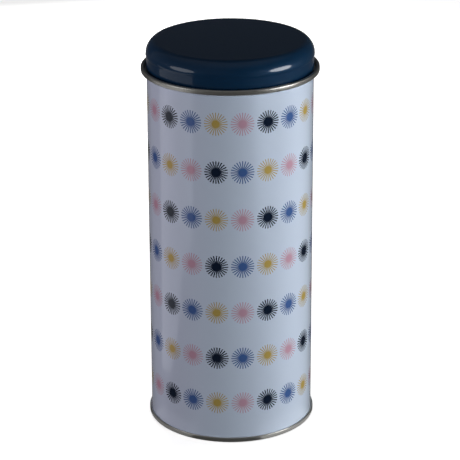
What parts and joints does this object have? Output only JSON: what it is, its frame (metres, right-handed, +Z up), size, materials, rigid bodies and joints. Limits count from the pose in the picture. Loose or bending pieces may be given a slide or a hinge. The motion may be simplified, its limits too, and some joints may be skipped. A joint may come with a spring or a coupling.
{
  "type": "spice tin",
  "caption": "Tall round tinplate storage tin: a printed wall seamed to a recessed bottom and a neck ring, with a slip-over lid that lifts straight off.",
  "frame": {"origin": "centre of the foot ring, on the surface that the tin stands on", "axes": "+Z up along the tin's axis; -Y is the front shown, with the side seam at the back on +Y"},
  "size_m": [0.0802, 0.0802, 0.1812],
  "materials": {
    "printed_tinplate": "pale lavender-blue printed ground with rows of small starbursts in pink, navy, blue and mustard, under gloss varnish",
    "bright_tinplate": "bare bright tinplate, faint rolling grain",
    "lid_enamel": "deep navy gloss enamel",
    "seam_compound": "matte sealing compound, hidden in the seams"
  },
  "bodies": {
    "can": {"body_shell": "printed_tinplate", "bottom_end": "bright_tinplate", "neck_collar": "bright_tinplate", "bottom_seam_compound": "seam_compound", "neck_seam_compound": "seam_compound"},
    "lid": {"lid_cap": "lid_enamel"}
  },
  "joints": [
    {"name": "lid_lift", "type": "slide", "parent": "can", "child": "lid", "axis": [0, 0, 1], "range_m": [0, 0.045]}
  ]
}
